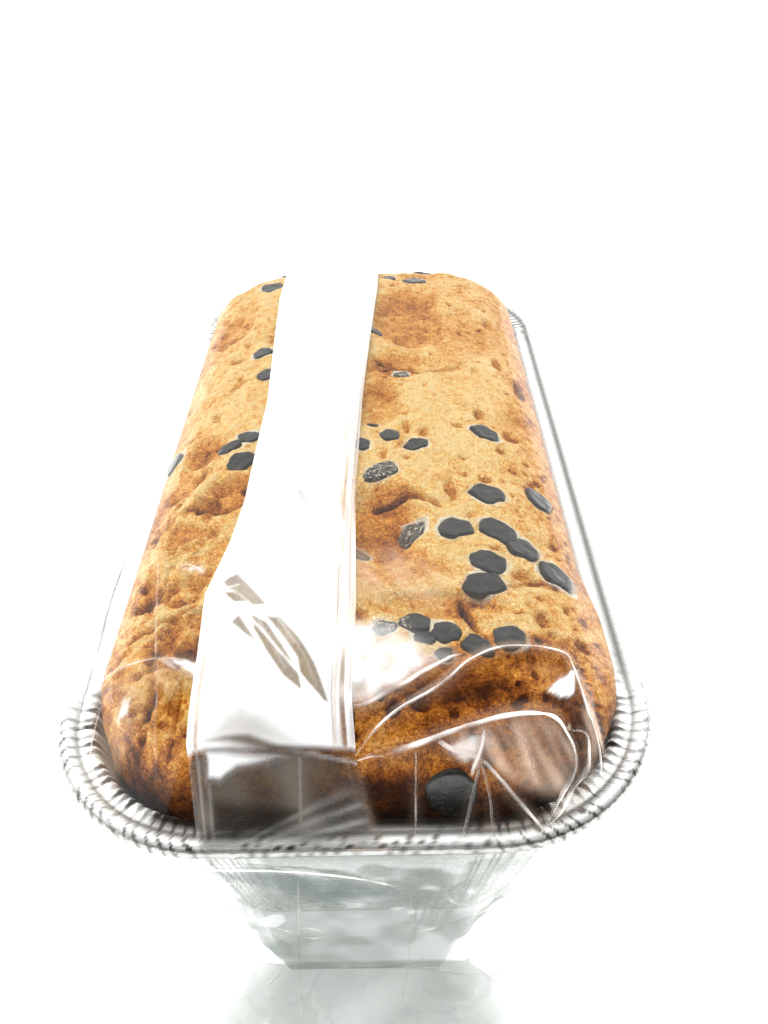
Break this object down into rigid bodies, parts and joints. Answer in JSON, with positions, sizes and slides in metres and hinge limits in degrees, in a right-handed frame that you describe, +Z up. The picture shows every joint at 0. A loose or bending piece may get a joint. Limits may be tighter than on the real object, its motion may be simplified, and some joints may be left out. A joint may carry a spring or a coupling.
{
  "type": "chocolate chip loaf cake in a foil tin, wrapped in clear film",
  "caption": "Whole loaf cake with chocolate chips in its round-cornered foil loaf tin, wrapped in clear film that is folded into a seam along the top and pressed flat at both ends.",
  "frame": {"origin": "middle of the wrap's flat underside, on the surface that the loaf stands on", "axes": "+Z up, +Y along the loaf towards its far end, +X to the right of someone who looks along +Y"},
  "size_m": [0.1168, 0.26, 0.0875],
  "materials": {
    "foil": "bright, pleated at the corners",
    "crust": "baked crumb, golden to orange brown, stands in for cake",
    "chocolate": "dark, half matt, stands in for chocolate chips",
    "film": "clear, glossy and creased"
  },
  "bodies": {
    "root": {"foil_tin": "foil", "cake": "crust", "film_wrap": "film"}
  },
  "joints": []
}
